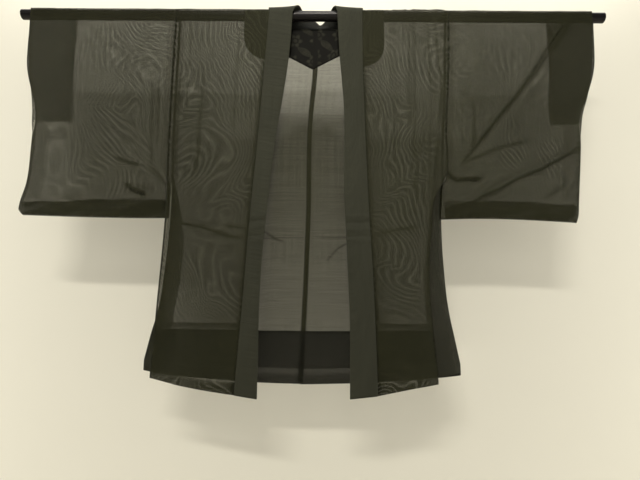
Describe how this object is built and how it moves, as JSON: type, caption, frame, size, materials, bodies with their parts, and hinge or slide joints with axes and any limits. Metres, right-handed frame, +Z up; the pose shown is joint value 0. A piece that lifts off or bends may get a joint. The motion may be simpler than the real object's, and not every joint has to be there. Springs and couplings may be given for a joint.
{
  "type": "haori jacket on a hanging rod",
  "caption": "Sheer black unlined summer haori jacket, open in front with a folded collar band, hung by its shoulders and sleeves over a round lacquered rod.",
  "frame": {"origin": "the middle of the rod's axis, where the hung garment is held", "axes": "+X along the rod towards the wearer's left, +Y towards the garment's back, +Z up"},
  "size_m": [1.4, 0.083, 0.9138],
  "materials": {
    "silk_gauze": "sheer black silk gauze with a fine cross-ribbed open weave and a watered sheen where two layers cross",
    "collar_gauze": "the same gauze folded to several layers, nearly opaque, matt black",
    "figured_satin": "black figured satin with large flowers and leaves in dull olive, soft sheen",
    "facing_silk": "thin plain black silk, matt",
    "black_lacquer": "black lacquer, glossy"
  },
  "bodies": {
    "root": {"rod": "black_lacquer", "body_right": "silk_gauze", "body_left": "silk_gauze", "sleeve_right": "silk_gauze", "sleeve_left": "silk_gauze", "gusset_right": "silk_gauze", "gusset_left": "silk_gauze", "collar": "collar_gauze", "shoulder_lining": "figured_satin", "mouth_facing_right": "facing_silk", "mouth_facing_left": "facing_silk", "turnup_front_right": "silk_gauze", "turnup_front_left": "silk_gauze", "turnup_back_right": "silk_gauze", "turnup_back_left": "silk_gauze"}
  },
  "joints": []
}
